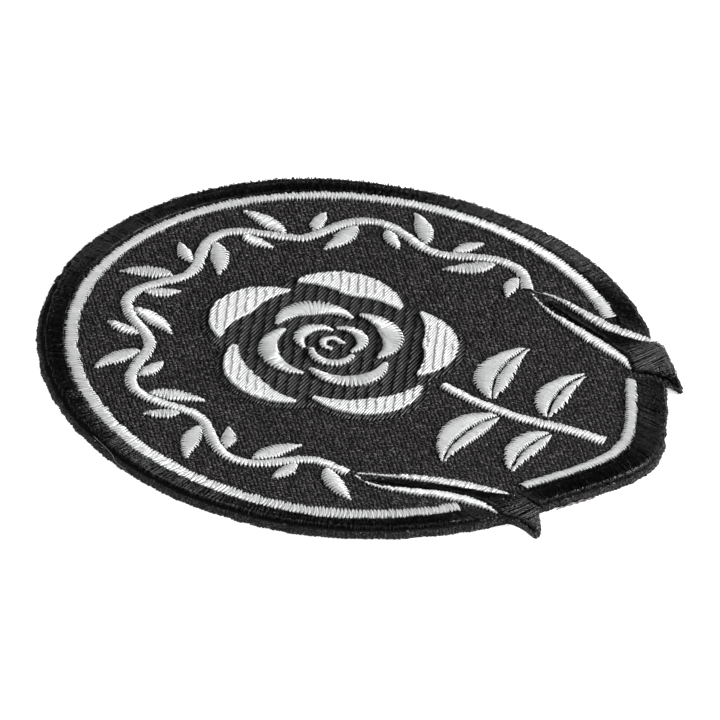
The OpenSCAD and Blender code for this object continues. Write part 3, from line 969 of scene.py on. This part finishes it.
def hooked(corner_turn, corner_reach):
    """Bearing and reach of every point of the outline, with its corner at the place given."""
    lobe_turn = np.linspace(HOOK_START, corner_turn, 20)
    knots = [HOOK_START, 290, 291, 291.5, corner_turn]
    lobe_out = np.interp(lobe_turn, knots, [*np.interp(knots[:4], directions, cloth_reach), corner_reach])
    tip_turn = np.linspace(TIP_TURN, HOOK_END, 12)
    turns = np.concatenate([lobe_turn, HOOK[:, 0], tip_turn])
    reaches = np.concatenate([lobe_out, HOOK[:, 1], np.interp(tip_turn, directions, cloth_reach)])
    path = polar(reaches, turns)
    along = np.concatenate([[0], np.cumsum(np.linalg.norm(np.diff(path, axis=0), axis=1))])
    swept = (directions >= HOOK_START) & (directions <= HOOK_END)
    x, y = (np.interp(np.linspace(0, along[-1], swept.sum()), along, path[:, axis]) for axis in (0, 1))
    turned, out = directions.copy(), cloth_reach.copy()
    turned[swept], out[swept] = np.degrees(np.arctan2(y, x)) % 360, np.hypot(x, y)
    return turned, out


CLOTH_CORNER, FILM_CORNER = (296.1, 38.7), (295.4, 39.2)
cloth_turn, cloth_edge = hooked(*CLOTH_CORNER)
print("the edge turns back by", round(CLOTH_CORNER[0] - HOOK[-1, 0], 2), "degrees under the tip")

# %% [markdown]
# ## Cutting it out
# A hot blade melts the threads' ends together, which leaves a rough wall that swells a little here and
# there. The wall is extruded in four steps, and each ring of points is then moved by a noise of a
# few tenths of a millimetre that is smooth along the edge.

# %% Cloth body
def rough(count, waves, size, seed):
    """A closed, smooth wobble round an outline, from a handful of waves."""
    source = np.random.default_rng(seed)
    a = np.arange(count) / count * 2 * np.pi
    total = np.zeros(count)
    for wave in waves:
        total += source.normal(0, 1) * np.sin(wave * a + source.uniform(0, 6.3)) / math.sqrt(len(waves))
    return total * size


def cut_sheet(name, turned, outline, levels, wobbles):
    """A flat sheet with rough walls: a circle extruded level by level, then pushed out to the outline.
    Turned and outline give the bearing and the reach of each point, wobbles its stray at each level."""
    bpy.ops.mesh.primitive_circle_add(vertices=RIM, radius=1, fill_type="NGON")
    sheet = bpy.context.object
    sheet.name = sheet.data.name = name
    bpy.ops.object.mode_set(mode="EDIT")
    bpy.ops.mesh.select_all(action="SELECT")
    for _ in levels[1:]:
        bpy.ops.mesh.extrude_region_move(TRANSFORM_OT_translate={"value": (0, 0, 1)})
    bpy.ops.mesh.select_all(action="SELECT")
    bpy.ops.mesh.normals_make_consistent(inside=False)
    bpy.ops.object.mode_set(mode="OBJECT")
    points = np.empty(len(sheet.data.vertices) * 3)
    sheet.data.vertices.foreach_get("co", points)
    points = points.reshape(-1, 3)
    around = np.round(np.degrees(np.arctan2(points[:, 1], points[:, 0])) / 360 * RIM).astype(int) % RIM
    ring = np.round(points[:, 2]).astype(int)
    out = outline[around] + np.array(wobbles)[ring, around]
    points[:, :2] = polar(out, turned[around]) * MM
    points[:, 2] = np.array(levels)[ring] * MM
    sheet.data.vertices.foreach_set("co", points.ravel())
    return sheet


fine = rough(RIM, range(280, 950, 11), 0.05, 3)
coarse = rough(RIM, range(9, 120, 4), 0.08, 4)
levels = (0.15, 0.32, 0.57, 0.82, 0.96)
wobbles = [coarse + rough(RIM, range(150, 800, 13), 0.1, 10 + k) + fine + bulge
           for k, bulge in enumerate((0.14, 0.22, 0.16, 0.0, -0.26))]
ground_cloth = cut_sheet("ground_cloth", cloth_turn, cloth_edge, levels, wobbles)
print("cloth:", triangles(ground_cloth), "triangles")

# %% [markdown]
# ## Twill and cut edge materials
# The cloth's face is nearly hidden by its own weave, which comes next. The wall is another matter: melted
# polyester, dark grey and blotchy, shinier where it ran together. Both are one material, and
# the height of a point above the table decides which of the two it is.

# %% Cloth material
def cloth_material():
    material, tree, shader = new_material("black_twill_cut", Specular_IOR_Level=0.2)
    place = add_node(tree, "ShaderNodeTexCoord").outputs["Object"]
    blotches = noise(tree, place, 4500.0, 4.0)
    melted = ramp(tree, blotches, [(0.35, grey(0.003)), (0.55, (0.024, 0.023, 0.025)),
                                   (0.7, (0.1, 0.097, 0.105))])
    height = add_node(tree, "ShaderNodeSeparateXYZ", {"Vector": place}).outputs["Z"]
    on_top = between(tree, height, 0.00092, 0.00095, 0, 1)
    both = add_node(tree, "ShaderNodeMix", {"Factor": on_top}, data_type="RGBA")
    wall_colour, top_colour, mixed = both.inputs[6], both.inputs[7], both.outputs[2]
    tree.links.new(melted, wall_colour)
    top_colour.default_value = (0.0015, 0.0014, 0.0016, 1)
    tree.links.new(mixed, shader.inputs["Base Color"])
    gloss = ramp(tree, blotches, [(0.4, grey(0.85)), (0.75, grey(0.5))])
    tree.links.new(gloss, shader.inputs["Roughness"])
    bump = add_node(tree, "ShaderNodeBump", {"Height": blotches}, Strength=1.0, Distance=0.0002)
    tree.links.new(bump.outputs["Normal"], shader.inputs["Normal"])
    return material


ground_cloth.data.materials.append(cloth_material())
bpy.context.view_layer.objects.active = ground_cloth
ground_cloth.select_set(True)
bpy.ops.object.shade_smooth_by_angle(angle=math.radians(50))
ground_cloth.select_set(False)
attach(ground_cloth, "root")
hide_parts("ground_twill")
print("the cloth's material is", ground_cloth.data.materials[0].name)

# %% [markdown]
# ## The weave
# In twill each warp thread passes over two wefts and under one, one step further along in every next
# column. What one sees is a slanting array of small pillows, called floats. One float is modelled as a
# box whose top is pinched to a ridge, and it is copied only where no embroidery covers the cloth.

# %% One float
def model_float():
    """A float of length and width 1: a box, its top drawn together to a ridge."""
    bpy.ops.mesh.primitive_cube_add(size=1)
    box = bpy.context.object
    bpy.ops.object.mode_set(mode="EDIT")
    bpy.ops.mesh.select_mode(type="VERT")
    bpy.ops.mesh.select_all(action="DESELECT")
    bpy.ops.object.mode_set(mode="OBJECT")
    for vertex in box.data.vertices:
        vertex.select = vertex.co.z > 0
    bpy.ops.object.mode_set(mode="EDIT")
    bpy.ops.transform.resize(value=(0, 0.5, 1), center_override=(0, 0, 0))
    bpy.ops.mesh.select_all(action="SELECT")
    bpy.ops.mesh.remove_doubles(threshold=0.0001)
    bpy.ops.mesh.normals_make_consistent(inside=False)
    bpy.ops.object.mode_set(mode="OBJECT")
    return taken_apart(box)


FLOAT = model_float()
float_triangles = sum(len(face) - 2 for face in FLOAT["faces"])
print("a float has", len(FLOAT["points"]), "points and", float_triangles, "triangles")

# %% [markdown]
# ## Laying the floats
# The columns stand a quarter of a millimetre apart. A float whose middle lies under the embroidery is left
# out, and so is one that would stick out over the cut edge. The two rings are tested as rings, the rose
# with its black ground by the rounds of that ground, and every other band by its own outline.

# %% Floats on the bare cloth
COLUMN, PICK = 0.25, 0.21
EDGE_GAP = 0.4
across, up = np.meshgrid(np.arange(-151, 152), np.arange(-67, 61))
centres = np.stack([across * COLUMN, (3 * up + across % 3) * PICK], -1).reshape(-1, 2)
distance = np.linalg.norm(centres, axis=1)
bearing = np.degrees(np.arctan2(centres[:, 1], centres[:, 0])) % 360
bare = distance < np.interp(bearing, directions, cloth_reach) - EDGE_GAP


def under_ring(inner, outer, end, start):
    """Which floats lie under a ring that is open from its end round to its start."""
    return (distance > inner) & (distance < outer) & ((bearing < end) | (bearing > start))


bare &= ~under_ring(34.95, 37.4, 234, 315) & ~under_ring(33.35, 34.5, 231, 318)
for name, (edge_a, edge_b) in bands.items():
    if name in ("ring_border", "white_ring") or name.startswith("petal"):
        continue
    plan = np.concatenate([edge_a, edge_b[::-1]])
    near = bare & (centres > plan.min(0)).all(1) & (centres < plan.max(0)).all(1)
    bare[near] = ~inside(centres[near], plan[::3])
for plan in fill_plan:
    middle = plan.mean(0)
    bare &= np.linalg.norm(centres - middle, axis=1) > np.linalg.norm(plan[0] - middle) - 0.1
centres = centres[bare]
print(len(centres), "floats on the bare cloth")

# %% [markdown]
# Each float gets its own slight turn, height and tone. Real yarn is never even, and at a distance these
# differences read as the fine salt-and-pepper look of black twill. The palest floats, far lighter than
# black yarn, are painted sheen.

# %% Floats as one piece
def lay_floats(centres):
    """The points of all floats, in mm."""
    count = len(centres)
    x, y, z = FLOAT["points"].T
    centres = centres + chance.normal(0, 0.055, (count, 2))
    turn = chance.normal(0.15, 0.4, count)[:, None]
    wide = COLUMN * chance.normal(1, 0.12, (count, 1))
    long = 2.1 * PICK * chance.normal(1, 0.15, (count, 1))
    tall = np.clip(chance.normal(0.12, 0.05, (count, 1)), 0.03, 0.24)
    px, py = x * wide, y * long
    points = np.empty((count, len(x), 3))
    points[..., 0] = centres[:, :1] + px * np.cos(turn) - py * np.sin(turn)
    points[..., 1] = centres[:, 1:] + px * np.sin(turn) + py * np.cos(turn)
    points[..., 2] = FACE_Z + (z + 0.2) * tall
    return points


def weave_material():
    material, tree, shader = new_material("black_twill", Specular_IOR_Level=0.12)
    place = add_node(tree, "ShaderNodeTexCoord").outputs["Object"]
    hairs = noise(tree, place, 6500.0)
    yarn = add_node(tree, "ShaderNodeAttribute", attribute_name="strand").outputs["Fac"]
    # the last stop, far paler than black yarn, paints the sheen of single floats
    stops = [(0.25, (0.0015, 0.0013, 0.0015)), (0.38, (0.024, 0.0222, 0.0232)),
             (0.5, (0.068, 0.063, 0.066)), (0.7, (0.24, 0.23, 0.24))]
    tree.links.new(ramp(tree, blend(tree, yarn, hairs, 0.78), stops), shader.inputs["Base Color"])
    tree.links.new(between(tree, hairs, 0, 1, 0.65, 0.4), shader.inputs["Roughness"])
    bump = add_node(tree, "ShaderNodeBump", {"Height": hairs}, Strength=0.8, Distance=0.00004)
    tree.links.new(bump.outputs["Normal"], shader.inputs["Normal"])
    return material


shades = chance.beta(1.5, 2.4, len(centres))
floats = (FLOAT, lay_floats(centres), np.ones(len(centres)), shades)
twill_floats = joined("twill_floats", [floats], weave_material())
print("weave:", triangles(twill_floats), "triangles")

# %% [markdown]
# ## Fuzz on the cut edge
# Short fibre ends escape the hot blade all round. They are the same model thread, as thin as a hair and
# with three sides only, and they keep the edge from looking like cut rubber. Most are scorched black, and
# some show the grey-blue of the polyester. Those stand closest together beside the lobe.

# %% Fibres
FUZZ, LINT_ALL_ROUND, LINT_BY_LOBE = 2400, 260, 120
ROOTED = 0.12
SCORCHED = ((0.003, 0.0025, 0.002), (0.05, 0.038, 0.03), (0.1, 0.08, 0.07))
PALE = ((0.02, 0.022, 0.026), (0.25, 0.26, 0.29), (0.45, 0.46, 0.5))


def bow(t):
    return np.sin(np.pi * t)


def sprout(name, bearings, lengths, material):
    """Short fibres on the cut wall, at the bearings given and with lengths between the two given."""
    count = len(bearings)
    starts = polar(np.interp(bearings, directions, cloth_reach) - ROOTED, bearings)
    ends = starts + polar(chance.uniform(*lengths, count), bearings + chance.normal(0, 60, count))
    copies, length = lay(FIBRE, starts, ends, z=chance.uniform(0.2, 1.0, count),
                         rise=chance.normal(0.05, 0.1, count), wide=0.034, thick=0.03, shape=bow)
    copies[..., 2] = np.maximum(copies[..., 2], 0.03)
    return joined(name, [(FIBRE, copies, length, chance.uniform(0, 1, count))], material)


scorched = thread_material("scorched_fibre", SCORCHED, (0.5, 0.8), silky=0.0, shine=0.3, flecked=0.3)
edge_fuzz = sprout("cut_edge_fuzz", chance.uniform(0, 360, FUZZ), (0.15, 0.42), scorched)
lint = thread_material("pale_fibre", PALE, (0.4, 0.7), silky=0.0, shine=0.5, flecked=0.3)
pale_at = np.concatenate([chance.uniform(0, 360, LINT_ALL_ROUND), chance.normal(254, 6, LINT_BY_LOBE)])
edge_lint = sprout("cut_edge_lint", pale_at % 360, (0.12, 0.3), lint)
print("fuzz:", triangles(edge_fuzz), "and", triangles(edge_lint), "triangles")

# %% [markdown]
# One fibre is longer than all others: it has come loose on the left, lies over the border's rim and hangs
# down along the wall. Its path is a table of bearings, distances from the middle and heights.

# %% The loose fibre
LOOSE = [
    [153.9, 37.45, 1.3], [156.2, 37.6, 1.42], [158.2, 37.7, 1.4], [160.3, 37.85, 1.25],
    [161.1, 37.9, 0.85], [162.1, 37.9, 0.66], [163.6, 37.95, 0.6], [164.9, 38.0, 0.4]]
LOOSE_R, LOOSE_CUTS = 0.026, 40
TAN = ((0.1, 0.085, 0.075), (0.33, 0.3, 0.275), (0.5, 0.47, 0.44))
path = [[*polar(r, bearing), z] for bearing, r, z in LOOSE]
tan_fibre = thread_material("tan_fibre", TAN, (0.4, 0.6), silky=0.0, shine=0.5, flecked=0.9)
loose = joined("loose_fibre", [along_path(path, LOOSE_R, LOOSE_CUTS)], tan_fibre)
print("loose fibre:", triangles(loose), "triangles")

# %% [markdown]
# ## The back
# Under the cloth a second, white thread locks every stitch. It pulls the top thread a little way down and
# round, so on the back each band shows only a narrow zigzag along its middle. It is a guess here, because
# the picture shows the front only, but every machine embroidery looks like this from behind.

# %% Bobbin stitches
BACK_Z, BACK_THICK, BACK_PITCH = 0.125, 0.018, 0.5
NARROW = 0.3
sets = []
for edge_a, edge_b in bands.values():
    near_a, near_b = mix(edge_a, edge_b, 0.33), mix(edge_a, edge_b, 0.67)
    if np.median(np.linalg.norm(near_b - near_a, axis=1)) < NARROW:
        near_a, near_b = mix(edge_a, edge_b, 0.1), mix(edge_a, edge_b, 0.9)
    starts, ends = zigzag(near_a, near_b, BACK_PITCH, ragged=0.06, drift=0.2)
    if len(starts):
        copies, length = lay(FIBRE, starts, ends, BACK_Z, rise=0, wide=0.13, thick=BACK_THICK)
        sets.append((FIBRE, copies, length, chance.uniform(0, 1, len(length))))
stitches = stitch_rows(FIBRE, fill_plan, BACK_PITCH, FILL_STITCH, z=BACK_Z, rise=0, wide=0.12,
                       thick=BACK_THICK)
sets.append((*stitches, chance.uniform(0, 1, len(stitches[2]))))
bobbin = joined("bobbin_stitches", sets, white_thread)
print("back:", triangles(bobbin), "triangles")

# %% [markdown]
# ## The film
# The back is covered with clear heat-seal film, a tenth of a millimetre thick. It follows the cloth, and in
# the corner under the right leaf tip it was cut a little wider, so a bit of it shows.

# %% Backing film
FILM_THICK, FILM_INSET = 0.1, 0.12


def film_material(name, alpha, shine, stops, streaks):
    """Clear film: stops are the colours of its haze, on the curled sliver also of painted highlights, and
    streaks says how finely it is drawn.
    """
    material, tree, shader = new_material(name, Alpha=alpha, IOR=1.5, Specular_IOR_Level=shine)
    place = add_node(tree, "ShaderNodeTexCoord").outputs["Object"]
    drawn = add_node(tree, "ShaderNodeMapping", {"Vector": place})
    drawn.inputs["Rotation"].default_value = (0, 0, math.radians(32))
    drawn.inputs["Scale"].default_value = streaks
    haze = noise(tree, drawn.outputs["Vector"], 700.0)
    tree.links.new(ramp(tree, haze, stops), shader.inputs["Base Color"])
    tree.links.new(ramp(tree, haze, [(0.3, grey(0.08)), (0.7, grey(0.25))]), shader.inputs["Roughness"])
    bump = add_node(tree, "ShaderNodeBump", {"Height": haze}, Strength=0.6, Distance=0.00005)
    tree.links.new(bump.outputs["Normal"], shader.inputs["Normal"])
    return material


film_turn, film_reach = hooked(*FILM_CORNER)
film_reach += coarse - FILM_INSET
film = cut_sheet("backing_film_sheet", film_turn, film_reach, (0.0, FILM_THICK), [fine * 0.3, fine * 0.3])
CLEAR = [(0.3, grey(0.7)), (0.7, grey(0.9))]
clear_film = film_material("clear_film", alpha=0.3, shine=0.5, stops=CLEAR, streaks=(1, 1, 1))
film.data.materials.append(clear_film)
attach(film, "root")
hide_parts("backing_film")
print("film:", triangles(film), "triangles")

# %% [markdown]
# ## A curled sliver of film
# Beside the lobe the film was cut too wide, and its free edge has curled up against the wall. It is milky
# there, and light streaks in its colour are painted highlights of its creases. A grid of a few rows is
# stood up along the edge and thickened.

# %% Film sliver
SLIVER_X, SLIVER_THICK = (-13.2, -8.2), 0.04
LEAN = math.radians(243)
bpy.ops.mesh.primitive_grid_add(x_subdivisions=60, y_subdivisions=6, size=2)
sliver = bpy.context.object
sliver.name = sliver.data.name = "film_sliver"
points = np.array([tuple(v.co) for v in sliver.data.vertices])
u, v = (points[:, 0] + 1) / 2, (points[:, 1] + 1) / 2
line_x = mix(*SLIVER_X, u)
swell = np.sin(np.pi * u) ** 0.5
out_by = 0.36 + 0.13 * v + 0.04 * np.sin(u * 37) + 0.03 * np.sin(u * 61 + 3 * v)
points[:, 0] = line_x + out_by * math.cos(LEAN)
points[:, 1] = lobe_y(line_x, 0) + out_by * math.sin(LEAN)
points[:, 2] = 0.04 + v * (0.1 + 0.5 * swell * (0.8 + 0.2 * np.sin(u * 23)))
sliver.data.vertices.foreach_set("co", (points * MM).ravel())
bpy.context.view_layer.objects.active = sliver
solid = sliver.modifiers.new("thickness", "SOLIDIFY")
solid.thickness, solid.offset = SLIVER_THICK * MM, 0
bpy.ops.object.modifier_apply(modifier="thickness")
bpy.ops.object.shade_smooth_by_angle(angle=math.radians(50))
sliver.select_set(False)
# the palest streaks of this haze are painted highlights of the film's creases
MILKY_AND_HIGHLIGHTS = [(0.3, (0.015, 0.013, 0.012)), (0.5, (0.07, 0.064, 0.062)), (0.68, (0.3, 0.285, 0.28))]
milky_film_with_highlights = film_material("milky_film_with_highlights", alpha=0.95, shine=0.12, stops=MILKY_AND_HIGHLIGHTS, streaks=(0.5, 4, 4))
sliver.data.materials.append(milky_film_with_highlights)
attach(sliver, "root")
print("sliver:", triangles(sliver), "triangles")

# %% [markdown]
# ## Closing
# Everything sewn goes with the cloth, and the triangles of all shown pieces are counted.

# %% Count the triangles
counts = [triangles(piece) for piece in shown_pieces()]
print("in all", sum(counts), "triangles in", len(counts), "pieces, the largest", max(counts))
